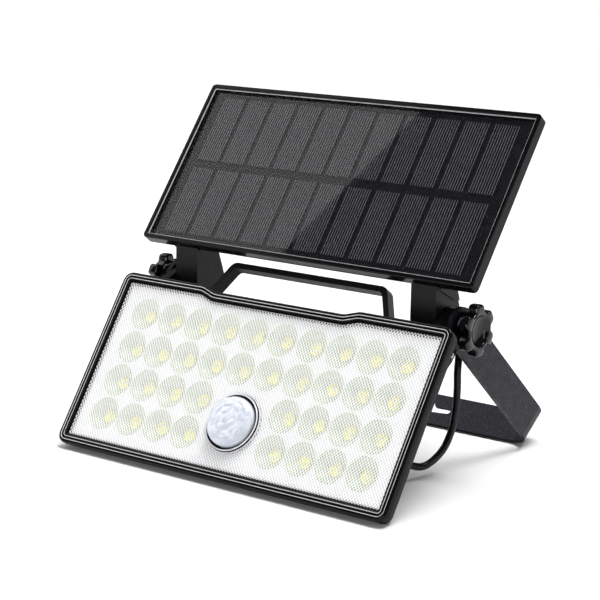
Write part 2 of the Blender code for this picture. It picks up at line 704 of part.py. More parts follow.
def cable_points():
    """Route from the lamp gland's mouth, back and down, then up behind the leg to the panel."""
    lamp_x, lamp_v = LAMP_GLAND
    panel_x, panel_v = PANEL_GLAND
    gap = GLAND_LONG + 0.3
    start = [LAMP @ Vector((lamp_x, PLATEAU + gap + d, lamp_v)) for d in (0.0, 4.0)]
    route = [(69.5, 45.4, 41.0), (72.0, 55.2, 44.8), (75.0, 59.5, 54.1),
             (77.0, 60.2, 64.0), (78.0, 57.7, 73.6), (78.0, 54.1, 82.5),
             (78.0, 49.3, 90.0), (77.0, 46.1, 98.4), (73.0, 42.5, 108.3),
             (68.5, 39.3, 119.4), (64.5, 37.3, 130.6)]
    path = [LAMP @ Vector(point) for point in route]
    end = [PANEL @ Vector((panel_x, PANEL_BACK + gap + d, panel_v)) for d in (13.0, 4.0, 0.0)]
    return start + path + end


def smooth_path(points, per_span=2):
    """Catmull-Rom samples through the points."""
    padded = [points[0] * 2 - points[1]] + points + [points[-1] * 2 - points[-2]]
    result = []
    for i in range(1, len(padded) - 2):
        p0, p1, p2, p3 = padded[i - 1:i + 3]
        for j in range(per_span):
            t = j / per_span
            bend = 2 * p0 - 5 * p1 + 4 * p2 - p3
            twist = 3 * p1 - p0 - 3 * p2 + p3
            result.append(0.5 * (2 * p1 + (p2 - p0) * t + bend * t * t + twist * t * t * t))
    result.append(points[-1])
    return result


def build_cable():
    curve = bpy.data.curves.new("cable", 'CURVE')
    curve.dimensions = '3D'
    curve.bevel_depth = CABLE_R * MM
    curve.bevel_resolution = 2
    curve.use_fill_caps = True
    path = smooth_path(cable_points())
    spline = curve.splines.new('POLY')
    spline.points.add(len(path) - 1)
    for point, place in zip(spline.points, path):
        point.co = (*(place * MM), 1.0)
    obj = bpy.data.objects.new("cable", curve)
    bpy.context.scene.collection.objects.link(obj)
    curve.materials.append(material("rubber"))
    BUILT.append(obj)


def move_to_origin():
    """Centre the whole assembly over the origin, standing on Z = 0."""
    corners = [v.co for obj in BUILT if obj.type == 'MESH' for v in obj.data.vertices]
    low = [min(c[i] for c in corners) for i in range(3)]
    high = [max(c[i] for c in corners) for i in range(3)]
    shift = Vector((-(low[0] + high[0]) / 2, -(low[1] + high[1]) / 2, -low[2]))
    for obj in BUILT:
        obj.data.transform(Matrix.Translation(shift))
    return shift


def hang(name, point, objects, shift):
    """Give moving pieces a parent empty on their joint axis."""
    empty = bpy.data.objects.new(name, None)
    empty.empty_display_size = 0.01
    empty.location = point * MM + shift
    bpy.context.scene.collection.objects.link(empty)
    back = Matrix.Translation(-empty.location)
    for obj in objects:
        obj.data.transform(back)
        obj.parent = empty


def named(*words):
    return [obj for obj in BUILT if obj.name.startswith(words)]


def build():
    clear_scene()
    build_bracket()
    build_bezel()
    build_lens()
    build_reflector()
    build_led_board()
    build_sensor()
    build_rear_shell()
    build_internals()
    button = build_button()
    flap = build_usb_flap()
    build_handle()
    build_housing_screws()
    build_gland("lamp_gland", LAMP, LAMP_GLAND, PLATEAU)
    build_gland("panel_gland", PANEL, PANEL_GLAND, PANEL_BACK)
    build_panel()
    build_leg_screws()
    knobs = {}
    for side, word in ((-1, "left"), (1, "right")):
        build_leg(side, word)
        build_pivot(side, word)
        knobs[word] = [build_clamp_washer(side, word)] + build_knob(side, word)
    build_cable()
    shift = move_to_origin()
    loose = [button, flap] + knobs["left"] + knobs["right"] + named("mounting_bracket")
    panel = named("panel_", "solar_", "leg_", "hinge_", "friction_")
    head = [obj for obj in BUILT if obj not in loose and obj not in panel]
    hang("head_pivot", PIVOT, head, shift)
    hang("panel_pivot", PIVOT, panel, shift)
    for side, word in ((-1, "left"), (1, "right")):
        spot = PIVOT + Vector((side * KNOB_BASE, 0, 0))
        hang(f"knob_pivot_{word}", spot, knobs[word], shift)
    spot = LAMP @ Vector((BUTTON_AT[0], PLATEAU, BUTTON_AT[1]))
    hang("button_travel", spot, [button], shift)
    spot = LAMP @ Vector((USB_AT[0], FLAP_HINGE[0], USB_AT[1] + FLAP_HINGE[1]))
    hang("flap_hinge", spot, [flap], shift)


build()
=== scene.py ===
import json
import math

import bmesh
import bpy
from mathutils import Matrix, Vector


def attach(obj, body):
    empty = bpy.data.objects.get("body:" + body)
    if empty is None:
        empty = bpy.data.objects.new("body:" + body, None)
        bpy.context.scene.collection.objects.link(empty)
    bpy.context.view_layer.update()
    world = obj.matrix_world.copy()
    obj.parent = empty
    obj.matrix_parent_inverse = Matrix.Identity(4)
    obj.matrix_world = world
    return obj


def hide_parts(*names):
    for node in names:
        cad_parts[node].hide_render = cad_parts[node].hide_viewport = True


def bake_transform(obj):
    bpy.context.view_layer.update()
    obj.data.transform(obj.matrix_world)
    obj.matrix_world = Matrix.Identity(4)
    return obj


MM = 0.001

# Stance of the light, as in the CAD; offsets are (depth, up) in millimetres
LAMP_TILT = math.radians(35.1)
PANEL_TILT = math.radians(38.2)
LAMP_TO_PIVOT = (24.7, 103.6)
PANEL_TO_PIVOT = (24.1, -10.2)

# Camera
CAMERA_AT = (0.5500, -0.7286, 0.2829)
CAMERA_AZIMUTH = math.radians(37.48)
CAMERA_ELEVATION = math.radians(12.85)
CAMERA_ROLL = math.radians(0.18)
CAMERA_LENS = 113.8

# Lamp face, millimetres in the lamp's own frame (right, depth, up); the profiles of
# outlines are (inset, depth) steps and those of round parts are (radius, depth) steps
LAMP_W = 200.0
LAMP_H = 94.6
LAMP_CORNER = 5.0
DIP_TOP = 47.3
DIP_BOTTOM = 39.1
DIP_DEPTH = 2.6
DIP_SHIFT = 0.155
DIP_SHOULDER = 1.2
DIP_SLOPE = 0.6
DIP_EASE = 0.2
BEZEL_PROFILE = [(0.0, 3.6), (0.0, 1.0), (0.1, 0.6), (0.4, 0.25), (0.9, 0.05), (1.5, 0.0),
                 (1.85, 0.12), (2.05, 0.45), (2.35, 0.62), (2.75, 0.6), (2.95, 0.3),
                 (3.2, 0.12), (3.6, 0.12), (3.85, 0.35), (4.1, 0.8), (4.5, 0.95),
                 (4.9, 1.05), (5.2, 1.2), (5.25, 1.4), (4.4, 1.45), (4.4, 3.6)]
# Painted highlight lines: pale strips along the bezel's ridge tops, at (inset, depth)
CREST_HIGHLIGHTS = [(1.75, 0.06), (3.4, 0.1)]
CREST_FOOT = 0.22
CREST_TOP = 0.12
CREST_SINK = 0.1
CREST_RISE = 0.06

# Cover
LENS_INSET = 4.7
LENS_FRONT = 1.55
LENS_THICK = 0.9
LENS_HOLE_R = 15.3
LENS_HOLE_SIDES = 72
LENS_PITCH_U = 1.7
LENS_PITCH_V = 2.1

# Reflector tray, its cups and lamps
TRAY_FRONT = 2.8
MARGIN_INSET = 6.3
MARGIN_FRONT = 2.7
MARGIN_THICK = 0.1
CUP_COLUMNS = 10
CUP_ROWS = 4
SENSOR_COLUMNS = (4, 5)
CUP_PITCH_U = 17.5
CUP_PITCH_V = 18.2
CUP_MOUTH_R = 8.1
CUP_HOLE_GAP = 0.5
CUP_FOOT_R = 3.7
CUP_BOTTOM = 7.7
CUP_SIDES = 40
CUP_STEPS = 7
CUP_FLARE = 1.35
CUP_LIP = 0.15
CUP_THROAT = 0.1
CAP_HALF_U = 3.4
CAP_HALF_V = 3.6
CAP_PROFILE = [(1.0, 0.1), (1.0, -0.5), (0.8, -0.75), (0.4, -0.85)]

# Sensor dome; its facet rings are (inner radius, outer radius, facets)
SENSOR_V = 29.0
DOME_R = 12.6
DOME_PROFILE = [(0.0, -4.9), (3.6, -4.8), (7.2, -4.4), (10.0, -3.6), (11.9, -2.2), (13.0, 0.2)]
DOME_FACETS = [(0.0, 2.6, 1), (2.6, 6.2, 5), (6.2, 9.6, 8), (9.6, 12.7, 12)]
DOME_SKIRT = (2.0, 7.9)
DOME_SIDES = 120
DOME_RINGS = 48
FACET_DEPTH = 0.5
FACET_SKEW = 0.35
TRIM_PROFILE = [(13.9, 0.48), (13.9, 0.32), (14.05, 0.22), (14.45, 0.22), (14.62, 0.35),
                (14.62, 0.48)]
SEAL_PROFILE = [(14.95, 1.9), (14.95, 1.3), (15.4, 1.3), (15.4, 1.9)]

# Panel face, millimetres in the panel's own frame
PANEL_W = 201.5
PANEL_H = 93.8
PANEL_CORNER = 2.2
CELL_COLUMNS = 11
CELL_PITCH = 16.7
CELL_W = 15.1
CELL_H = 39.5
CELL_ROW_GAP = 3.4
CELL_DEPTHS = (2.6, 2.9)
BACKING_INSET = 3.2
BACKING_DEPTHS = (2.8, 3.3)
FINGERS = 10
FINGER_HALF = 0.11
FINGER_END = 0.8
FINGER_DEPTHS = (2.56, 2.62)
FINGER_GAPS = FINGERS + 0.6
COVER_FACE = 1.3
COVER_EDGE_PROFILE = [(2.4, 0.9), (2.45, 0.75), (2.75, 0.75), (2.8, 0.9), (2.8, 1.25),
                      (2.4, 1.25)]

# Knobs, millimetres; their depths run outwards from the middle of the light
KNOB_BASE = 89.4
KNOB_FACE = 98.2
KNOB_R = 12.5
KNOB_WAIST_R = 9.3
KNOB_LOBES = 6
KNOB_SIDES = 180
LOBE_FLATNESS = 2.4
LOBE_BIAS = 0.3

# Cable, millimetres; its route is in the lamp's frame, between straight runs at its ends
CABLE_R = 1.8
CABLE_SIDES = 20
GLAND_LONG = 6.8
GLAND_OVERLAP = 1.0
SHELL_BACK = 22.0
PANEL_BACK = 6.4
LAMP_GLAND = (68.0, 39.4)
PANEL_GLAND = (60.0, 34.0)
LAMP_RUN = (0.0, 4.0)
PANEL_RUN = (14.0, 5.0, 0.0)
CABLE_ROUTE = [(69.5, 46.0, 39.8), (73.0, 57.4, 43.0), (76.6, 62.2, 53.0),
               (78.2, 61.9, 63.6), (78.6, 58.4, 73.6), (78.2, 54.3, 82.5),
               (78.0, 49.3, 90.0), (77.0, 46.1, 98.4), (73.0, 42.5, 108.3),
               (68.5, 39.3, 119.4), (64.5, 37.3, 130.6)]

# Studio: the floor in metres, the sky's stops as the height of a unit direction, and the
# window light's edge as two (right, up) points on the panel in millimetres
FLOOR_R = 1.6
FLOOR_Z = -0.0002
HORIZON_TOP = 0.05
SKY_GREY_FROM = 0.20
SKY_WHITE = (1.0, 1.0, 1.0, 1.0)
SKY_GREY = (0.08, 0.08, 0.085, 1.0)
WINDOW_EDGE = [(34.0, 94.0), (-14.0, 1.0)]

# Materials: the bump distance in metres, and the sockets of a Mix node set to colour
BUMP_DISTANCE = 0.0002
MIX_FACTOR, MIX_LOW, MIX_HIGH, MIX_RESULT = 0, 6, 7, 2


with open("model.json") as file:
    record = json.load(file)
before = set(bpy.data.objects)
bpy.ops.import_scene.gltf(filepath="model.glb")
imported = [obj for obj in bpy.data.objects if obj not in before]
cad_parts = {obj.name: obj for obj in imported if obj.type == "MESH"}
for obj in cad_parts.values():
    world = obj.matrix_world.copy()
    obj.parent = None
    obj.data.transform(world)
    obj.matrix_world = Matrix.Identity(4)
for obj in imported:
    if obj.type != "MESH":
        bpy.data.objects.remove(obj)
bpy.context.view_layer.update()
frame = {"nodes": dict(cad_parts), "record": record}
nodes = frame["nodes"]
joints = {joint["name"]: joint for joint in frame["record"]["behaviour"]["joints"]}
PIVOT = Vector(joints["bracket_tilt"]["pos_m"])


def tilted(tilt, pivot_offset):
    """Frame in metres: X right, Y into the body, Z up its face, its zero at the lower edge."""
    depth, height = pivot_offset
    turn = Matrix.Rotation(-tilt, 4, 'X')
    back = Matrix.Translation((0, -depth * MM, -height * MM))
    return Matrix.Translation(PIVOT) @ turn @ back


LAMP = tilted(LAMP_TILT, LAMP_TO_PIVOT)
PANEL = tilted(PANEL_TILT, PANEL_TO_PIVOT)


# ---------------------------------------------------------------- mesh helpers

def placed(name, data, place):
    """A new object in the scene."""
    obj = bpy.data.objects.new(name, data)
    bpy.context.scene.collection.objects.link(obj)
    obj.matrix_world = place
    return obj


def piece(name, solid, place, body, material, smooth=35.0):
    """A mesh from millimetre (verts, faces) in the place frame, riding on a body."""
    verts, faces = solid
    mesh = bpy.data.meshes.new(name)
    mesh.from_pydata([Vector(v) * MM for v in verts], [], faces)
    shape = bmesh.new()
    shape.from_mesh(mesh)
    bmesh.ops.remove_doubles(shape, verts=shape.verts, dist=1e-6)
    bmesh.ops.recalc_face_normals(shape, faces=shape.faces)
    shape.to_mesh(mesh)
    shape.free()
    mesh.shade_smooth()
    mesh.set_sharp_from_angle(angle=math.radians(smooth))
    mesh.materials.append(material)
    obj = placed(name, mesh, place)
    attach(obj, body)
    return obj


def skin(loops, ring=False, capped=True):
    """Quads between equal loops, with optional end caps."""
    count = len(loops[0])
    verts = [point for loop in loops for point in loop]
    faces = []
    for i in range(len(loops) if ring else len(loops) - 1):
        low = i * count
        high = ((i + 1) % len(loops)) * count
        for j in range(count):
            k = (j + 1) % count
            faces.append((low + j, low + k, high + k, high + j))
    if capped and not ring:
        faces.append(tuple(reversed(range(count))))
        faces.append(tuple(range(len(verts) - count, len(verts))))
    return verts, faces


def merged(shapes):
    """Several (verts, faces) shapes as one."""
    verts = []
    faces = []
    for more_verts, more_faces in shapes:
        base = len(verts)
        verts.extend(more_verts)
        faces.extend(tuple(base + i for i in face) for face in more_faces)
    return verts, faces


def circle(radius, count, turn=0.0):
    """Points round the origin."""
    step = 2 * math.pi / count
    return [(radius * math.cos(turn + i * step), radius * math.sin(turn + i * step))
            for i in range(count)]


def ring_about(profile, centre, count):
    """Turn closed (radius, depth) steps about the depth axis through centre (right, up)."""
    u, v = centre
    return skin([[(u + a, depth, v + b) for a, b in circle(r, count)] for r, depth in profile],
                ring=True)


def box(low, high):
    """Block between two opposite corners."""
    (x0, y0, z0), (x1, y1, z1) = low, high
    ends = [[(x0, y, z0), (x1, y, z0), (x1, y, z1), (x0, y, z1)] for y in (y0, y1)]
    return skin(ends)


def corner(cx, cy, radius, start, steps):
    """Quarter turn about (cx, cy)."""
    turns = [start + math.pi / 2 * i / steps for i in range(steps + 1)]
    return [(cx + radius * math.cos(t), cy + radius * math.sin(t)) for t in turns]


def rounded(width, height, radius, inset, steps=8):
    """Round-cornered rectangle standing on its lower edge, counter-clockwise."""
    radius = max(radius - inset, 0.4)
    side = width / 2 - inset - radius
    low = inset + radius
    high = height - inset - radius
    return (corner(-side, low, radius, math.pi, steps)
            + corner(side, low, radius, -math.pi / 2, steps)
            + corner(side, high, radius, 0, steps)
            + corner(-side, high, radius, math.pi / 2, steps))


def lamp_outline(inset):
    """Housing outline with the dip in its top edge."""
    points = rounded(LAMP_W, LAMP_H, LAMP_CORNER, inset)
    split = len(points) * 3 // 4
    top = LAMP_H - inset
    shift = DIP_SHIFT * inset
    dip = []
    for side in (1, -1):
        run = [DIP_TOP + shift + DIP_SHOULDER, DIP_TOP + shift - DIP_SLOPE,
               DIP_BOTTOM + shift + DIP_SLOPE, DIP_BOTTOM + shift - DIP_SHOULDER]
        drop = [0.0, DIP_EASE, DIP_DEPTH - DIP_EASE, DIP_DEPTH]
        half = [(side * u, top - down) for u, down in zip(run, drop)]
        dip += half if side > 0 else list(reversed(half))
    return points[:split] + dip + points[split:]


def panel_outline(inset):
    """Round-cornered outline of the panel."""
    return rounded(PANEL_W, PANEL_H, PANEL_CORNER, inset, 6)


def outlined(outline, profile, ring):
    """Skin through an outline at (inset, depth) steps."""
    return skin([[(u, depth, v) for u, v in outline(inset)] for inset, depth in profile], ring)


# ------------------------------------------------------------------- materials

class Graph:
    """Short hand for building one material's nodes."""

    def __init__(self, name, color, rough, metal=0.0):
        self.material = bpy.data.materials.new(name)
        self.material.use_nodes = True
        self.nodes = self.material.node_tree.nodes
        self.links = self.material.node_tree.links
        self.shader = self.nodes["Principled BSDF"]
        self.set("Base Color", (*color, 1.0))
        self.set("Roughness", rough)
        self.set("Metallic", metal)
        coords = self.nodes.new("ShaderNodeTexCoord")
        self.place = coords.outputs["Object"]

    def set(self, socket, value):
        self.shader.inputs[socket].default_value = value

    def link(self, source, socket):
        self.links.new(source, self.shader.inputs[socket])

    def noise(self, scale, detail=3.0, stretch=None):
        node = self.nodes.new("ShaderNodeTexNoise")
        node.inputs["Scale"].default_value = scale
        node.inputs["Detail"].default_value = detail
        source = self.mapped(stretch) if stretch else self.place
        self.links.new(source, node.inputs["Vector"])
        return node.outputs["Fac"]

    def mapped(self, scale):
        node = self.nodes.new("ShaderNodeMapping")
        node.inputs["Scale"].default_value = scale
        self.links.new(self.place, node.inputs["Vector"])
        return node.outputs["Vector"]

    def voronoi(self, scale):
        node = self.nodes.new("ShaderNodeTexVoronoi")
        node.inputs["Scale"].default_value = scale
        self.links.new(self.place, node.inputs["Vector"])
        return node.outputs["Distance"]

    def spread(self, source, low, high, start=0.3, end=0.7):
        node = self.nodes.new("ShaderNodeMapRange")
        node.inputs["From Min"].default_value = start
        node.inputs["From Max"].default_value = end
        node.inputs["To Min"].default_value = low
        node.inputs["To Max"].default_value = high
        self.links.new(source, node.inputs["Value"])
        return node.outputs["Result"]

    def math(self, operation, a, b=0.0):
        node = self.nodes.new("ShaderNodeMath")
        node.operation = operation
        for value, socket in ((a, node.inputs[0]), (b, node.inputs[1])):
            if isinstance(value, (int, float)):
                socket.default_value = value
            else:
                self.links.new(value, socket)
        return node.outputs["Value"]

    def axes(self):
        node = self.nodes.new("ShaderNodeSeparateXYZ")
        self.links.new(self.place, node.inputs["Vector"])
        return node.outputs["X"], node.outputs["Y"], node.outputs["Z"]

    def blend(self, factor, low, high):
        node = self.nodes.new("ShaderNodeMix")
        node.data_type = 'RGBA'
        self.links.new(factor, node.inputs[MIX_FACTOR])
        node.inputs[MIX_LOW].default_value = (*low, 1.0)
        node.inputs[MIX_HIGH].default_value = (*high, 1.0)
        return node.outputs[MIX_RESULT]

    def mottle(self, scale, low, high, detail=3.0):
        """Base colour that wanders between two tones."""
        tone = self.spread(self.noise(scale, detail), 0, 1)
        self.link(self.blend(tone, low, high), "Base Color")

    def bump(self, height, strength):
        node = self.nodes.new("ShaderNodeBump")
        node.inputs["Strength"].default_value = strength
        node.inputs["Distance"].default_value = BUMP_DISTANCE
        self.links.new(height, node.inputs["Height"])
        self.link(node.outputs["Normal"], "Normal")


def moulded(name, color, rough, grain, strength, sheen=1.25, shine=0.25):
    """Injection-moulded or coated surface: grain, cloudy tone and uneven polish."""
    graph = Graph(name, color, rough)
    graph.set("Specular IOR Level", shine)
    graph.mottle(60, color, tuple(c * sheen for c in color), 4)
    graph.link(graph.spread(graph.noise(180, 5), rough * 0.85, rough * 1.2), "Roughness")
    graph.bump(graph.noise(grain, 2), strength)
    return graph


def powder_coat():
    """Fine textured paint: grey-blue black with light specks."""
    graph = moulded("powder_coat", (0.012, 0.012, 0.015), rough=0.42, grain=1500, strength=0.7,
                    shine=0.15)
    specks = graph.spread(graph.noise(1100, 1), 0.0, 1.0, 0.52, 0.66)
    graph.link(graph.blend(specks, (0.010, 0.010, 0.015), (0.027, 0.027, 0.036)), "Base Color")
    return graph.material


def black_rubber(name, grain):
    """Soft black rubber with a faint polish."""
    return moulded(name, (0.003, 0.003, 0.0035), rough=0.26, grain=grain,
                   strength=0.15).material


def metal(name, color, rough):
    """Plated or turned metal with a fine lay."""
    graph = Graph(name, color, rough, 1.0)
    graph.link(graph.spread(graph.noise(900, 2, (1, 0.15, 1)), rough * 0.7, rough * 1.5),
               "Roughness")
    graph.bump(graph.noise(2200, 2), 0.08)
    return graph.material


def prisms(graph):
    """1 at the middle of each small lens of the staggered grid, -1 between them."""
    u, _, v = graph.axes()
    across = graph.math('COSINE', graph.math('MULTIPLY', u, 2 * math.pi / (LENS_PITCH_U * MM)))
    upwards = graph.math('COSINE', graph.math('MULTIPLY', v, 2 * math.pi / (LENS_PITCH_V * MM)))
    return graph.math('MULTIPLY', across, upwards)


def lens_clear():
    """Clear sheet with a frosted web round a grid of small clear lenses; the lenses carry painted
    shade.
    """
    graph = Graph("lens_clear", (0.93, 0.94, 0.95), 0.12)
    dots = prisms(graph)
    graph.link(graph.spread(dots, 0.74, 0.12, 0.0, 0.38), "Alpha")
    # Painted shade: the small lenses are dark grey, standing in for the shaded tray seen through
    # them
    tone = graph.spread(dots, 0.0, 1.0, 0.0, 0.35)
    graph.link(graph.blend(tone, (0.95, 0.955, 0.96), (0.16, 0.17, 0.19)), "Base Color")
    graph.link(graph.spread(dots, 0.35, 0.08, 0.0, 0.6), "Roughness")
    graph.bump(dots, 0.5)
    return graph.material


def lens_inner():
    """The smooth inner face of the cover, nearly invisible."""
    graph = Graph("lens_inner", (0.95, 0.95, 0.96), 0.1)
    graph.link(graph.spread(graph.noise(200, 2), 0.03, 0.08), "Alpha")
    return graph.material


def reflector_white():
    """White plate of the reflector tray."""
    graph = Graph("tray_white", (0.68, 0.68, 0.69), 0.45)
    graph.mottle(220, (0.60, 0.60, 0.61), (0.68, 0.68, 0.69))
    graph.bump(graph.noise(1500, 2), 0.1)
    return graph.material


def cup_pale():
    """Pale green-grey cup wall, with painted light on its upper side, which lies in its own shade.
    """
    graph = Graph("cup_pale", (0.50, 0.55, 0.41), 0.4)
    _, _, v = graph.axes()
    rows = graph.math('DIVIDE', graph.math('SUBTRACT', v, LAMP_H / 2 * MM), CUP_PITCH_V * MM)
    # Painted light: each cup wall grows lighter towards its upper side, which lies in its own
    # shade
    painted_fill = graph.spread(graph.math('FRACT', rows), 0.0, 1.0, 0.1, 0.8)
    mottle = graph.spread(graph.noise(220, 3), -0.08, 0.08)
    graph.link(graph.blend(graph.math('ADD', painted_fill, mottle), (0.31, 0.36, 0.24),
                           (0.56, 0.61, 0.48)), "Base Color")
    graph.bump(graph.noise(1500, 2), 0.1)
    return graph.material


def phosphor():
    """Yellow lamp face broken into specks, as the cover's small lenses show it."""
    graph = Graph("phosphor", (1.0, 0.84, 0.02), 0.5)
    spots = graph.spread(graph.voronoi(780), 0, 1, 0.50, 0.59)
    graph.link(graph.blend(spots, (1.0, 0.93, 0.0), (0.58, 0.58, 0.40)), "Base Color")
    graph.bump(graph.noise(2500, 2), 0.3)
    return graph.material


def ring_clear():
    """Pale trim round the sensor."""
    graph = Graph("ring_clear", (0.80, 0.81, 0.82), 0.08)
    graph.link(graph.spread(graph.noise(300, 2), 0.05, 0.12), "Roughness")
    graph.set("Alpha", 0.92)
    return graph.material


def dome_milky():
    """Cloudy plastic that light sinks into, under a gloss."""
    graph = Graph("dome_milky", (0.72, 0.78, 0.90), 0.22)
    cloud = graph.spread(graph.noise(240, 3), 0, 1, 0.35, 0.65)
    graph.link(graph.blend(cloud, (0.54, 0.57, 0.66), (0.72, 0.75, 0.82)), "Base Color")
    graph.set("Subsurface Weight", 0.35)
    graph.set("Subsurface Radius", (1.0, 1.0, 1.0))
    graph.set("Subsurface Scale", 0.002)
    graph.set("Coat Weight", 0.7)
    graph.set("Coat Roughness", 0.08)
    graph.bump(graph.noise(700, 2), 0.1)
    return graph.material


def solar_cell():
    """Black silicon under a clear sheet, with a faint crystal mottling."""
    graph = Graph("solar_cell", (0.006, 0.006, 0.008), 0.4)
    graph.set("Specular IOR Level", 0.05)
    grain = graph.spread(graph.voronoi(260), 0, 1, 0.1, 0.8)
    graph.link(graph.blend(grain, (0.002, 0.002, 0.003), (0.006, 0.006, 0.008)), "Base Color")
    graph.link(graph.spread(graph.noise(150, 3), 0.3, 0.5), "Roughness")
    graph.set("Coat Weight", 0.7)
    graph.set("Coat Roughness", 0.02)
    return graph.material


def silver_print():
    """Fingers printed on the cells, under the same gloss."""
    graph = Graph("silver_print", (0.20, 0.20, 0.21), 0.45, 0.3)
    graph.mottle(900, (0.16, 0.16, 0.17), (0.26, 0.26, 0.27), 2)
    graph.set("Coat Weight", 1.0)
    graph.set("Coat Roughness", 0.02)
    return graph.material


def cover_sheet():
    """Flat clear cover over the cells; its gloss sits on the cells' own coat."""
    graph = Graph("cover_sheet", (0.02, 0.02, 0.025), 0.04)
    graph.link(graph.spread(graph.noise(40, 3), 0.03, 0.07), "Roughness")
    graph.set("Alpha", 0.06)
    return graph.material


def printed(name, low, high, rough):
    """Board or wrap with a mottled tone; also the pale strips of painted highlight on the bezel's
    ridges and the cover's edge.
    """
    graph = Graph(name, low, rough)
    graph.mottle(300, low, high)
    graph.bump(graph.noise(1200, 2), 0.1)
    return graph.material


GLOSS = moulded("gloss_black", (0.0025, 0.0025, 0.003), rough=0.13, grain=900,
                strength=0.04, shine=0.12).material
SATIN = moulded("satin_black", (0.006, 0.006, 0.007), rough=0.30, grain=3200,
                strength=0.3, sheen=1.3, shine=0.14).material
POWDER = powder_coat()
RUBBER = black_rubber("black_rubber", 1800)
KNOB = moulded("knob_gloss", (0.002, 0.002, 0.0025), rough=0.10, grain=500,
               strength=0.04, shine=0.42).material
STEEL = metal("plated_steel", (0.55, 0.56, 0.58), 0.3)
BRASS = metal("turned_brass", (0.75, 0.56, 0.25), 0.28)
TRAY = reflector_white()
CUP = cup_pale()
PHOSPHOR = phosphor()
BOARD = printed("board_green", (0.02, 0.13, 0.05), (0.04, 0.20, 0.09), 0.4)
WRAP = printed("cell_wrap", (0.05, 0.20, 0.46), (0.07, 0.26, 0.56), 0.35)
# Pale grey for the strips on the bezel's ridges: painted highlight
CREST_HIGHLIGHT = printed("painted_highlight_crest", (0.46, 0.46, 0.46), (0.57, 0.57, 0.565), 0.2)
# Pale grey for the strip round the cover's edge: painted highlight
COVER_EDGE_HIGHLIGHT = printed("cover_edge_highlight", (0.42, 0.42, 0.43), (0.60, 0.60, 0.61), 0.25)


# ------------------------------------------------------- camera, floor, lights

def build_camera():
    """Camera at the photograph's viewing angle."""
    camera = bpy.data.cameras.new("camera")
    camera.lens = CAMERA_LENS
    back = Vector((math.sin(CAMERA_AZIMUTH) * math.cos(CAMERA_ELEVATION),
                   -math.cos(CAMERA_AZIMUTH) * math.cos(CAMERA_ELEVATION),
                   math.sin(CAMERA_ELEVATION)))
    turn = back.to_track_quat('Z', 'Y').to_matrix().to_4x4()
    roll = Matrix.Rotation(CAMERA_ROLL, 4, 'Z')
    place = Matrix.Translation(CAMERA_AT) @ turn @ roll
    bpy.context.scene.camera = placed("camera", camera, place)


def area_light(name, width, height, power, place):
    """Rectangular light that the camera doesn't see."""
    light = bpy.data.lights.new(name, 'AREA')
    light.shape = 'RECTANGLE'
    light.size = width
    light.size_y = height
    light.energy = power
    placed(name, light, place).visible_camera = False


def softbox(name, at, aim, width, height, power):
    """Area light at a point, turned to another."""
    turn = (Vector(at) - Vector(aim)).to_track_quat('Z', 'Y').to_matrix().to_4x4()
    area_light(name, width, height, power, Matrix.Translation(at) @ turn)


def window_light(distance, width, length, power):
    """Softbox whose edge shows in the panel as a slanting line across its cells."""
    normal = (PANEL.to_3x3() @ Vector((0, -1, 0))).normalized()
    seen = Vector(CAMERA_AT)
    surface = PANEL @ Vector((0, COVER_FACE * MM, 0))
    mirrored = seen - 2 * (seen - surface).dot(normal) * normal
    ends = []
    for u, v in WINDOW_EDGE:
        spot = PANEL @ Vector((u * MM, COVER_FACE * MM, v * MM))
        ends.append(spot + (spot - mirrored).normalized() * distance)
    middle = (ends[0] + ends[1]) / 2
    along = (ends[0] - ends[1]).normalized()
    facing = (middle - PANEL @ Vector((0, 0, PANEL_H / 2 * MM))).normalized()
    across = along.cross(facing).normalized()
    left = PANEL @ Vector((-PANEL_W / 2 * MM, 0, PANEL_H / 2 * MM))
    outward = (left - mirrored).normalized() * distance + left - middle
    if outward.dot(across) < 0:
        across = -across
    normal_axis = across.cross(along)
    if normal_axis.dot(facing) < 0:
        along = -along
        normal_axis = across.cross(along)
    at = middle + across * width / 2
    turn = Matrix((across, along, normal_axis)).transposed().to_4x4()
    area_light("window_light", width, length, power, Matrix.Translation(at) @ turn)


def build_world():
    """White round the horizon, softer grey overhead."""
    world = bpy.data.worlds.new("studio")
    bpy.context.scene.world = world
    world.use_nodes = True
    nodes_in = world.node_tree.nodes
    links = world.node_tree.links
    coords = nodes_in.new("ShaderNodeTexCoord")
    split = nodes_in.new("ShaderNodeSeparateXYZ")
    ramp = nodes_in.new("ShaderNodeValToRGB")
    links.new(coords.outputs["Generated"], split.inputs["Vector"])
    links.new(split.outputs["Z"], ramp.inputs["Fac"])
    stops = ramp.color_ramp.elements
    stops[0].color = SKY_WHITE
    stops[1].position = SKY_GREY_FROM
    stops[1].color = SKY_GREY
    stops.new(HORIZON_TOP).color = SKY_WHITE
    links.new(ramp.outputs["Color"], nodes_in["Background"].inputs["Color"])
    nodes_in["Background"].inputs["Strength"].default_value = 1.0


def build_floor():
    """Round pale floor just under the object."""
    mesh = bpy.data.meshes.new("floor")
    rim = [(x, y, FLOOR_Z) for x, y in circle(FLOOR_R, 96)]
    mesh.from_pydata(rim, [], [tuple(range(len(rim)))])
    graph = Graph("floor_pale", (0.86, 0.86, 0.86), 0.7)
    graph.mottle(2.0, (0.85, 0.85, 0.85), (0.87, 0.87, 0.87), 2)
    mesh.materials.append(graph.material)
    obj = placed("floor", mesh, Matrix.Identity(4))


def overhead(power, spread, direction):
    """Very wide overhead light for the soft shadow under the object."""
    light = bpy.data.lights.new("overhead", 'SUN')
    light.energy = power
    light.angle = math.radians(spread)
    placed("overhead", light, Vector(direction).to_track_quat('Z', 'Y').to_matrix().to_4x4())


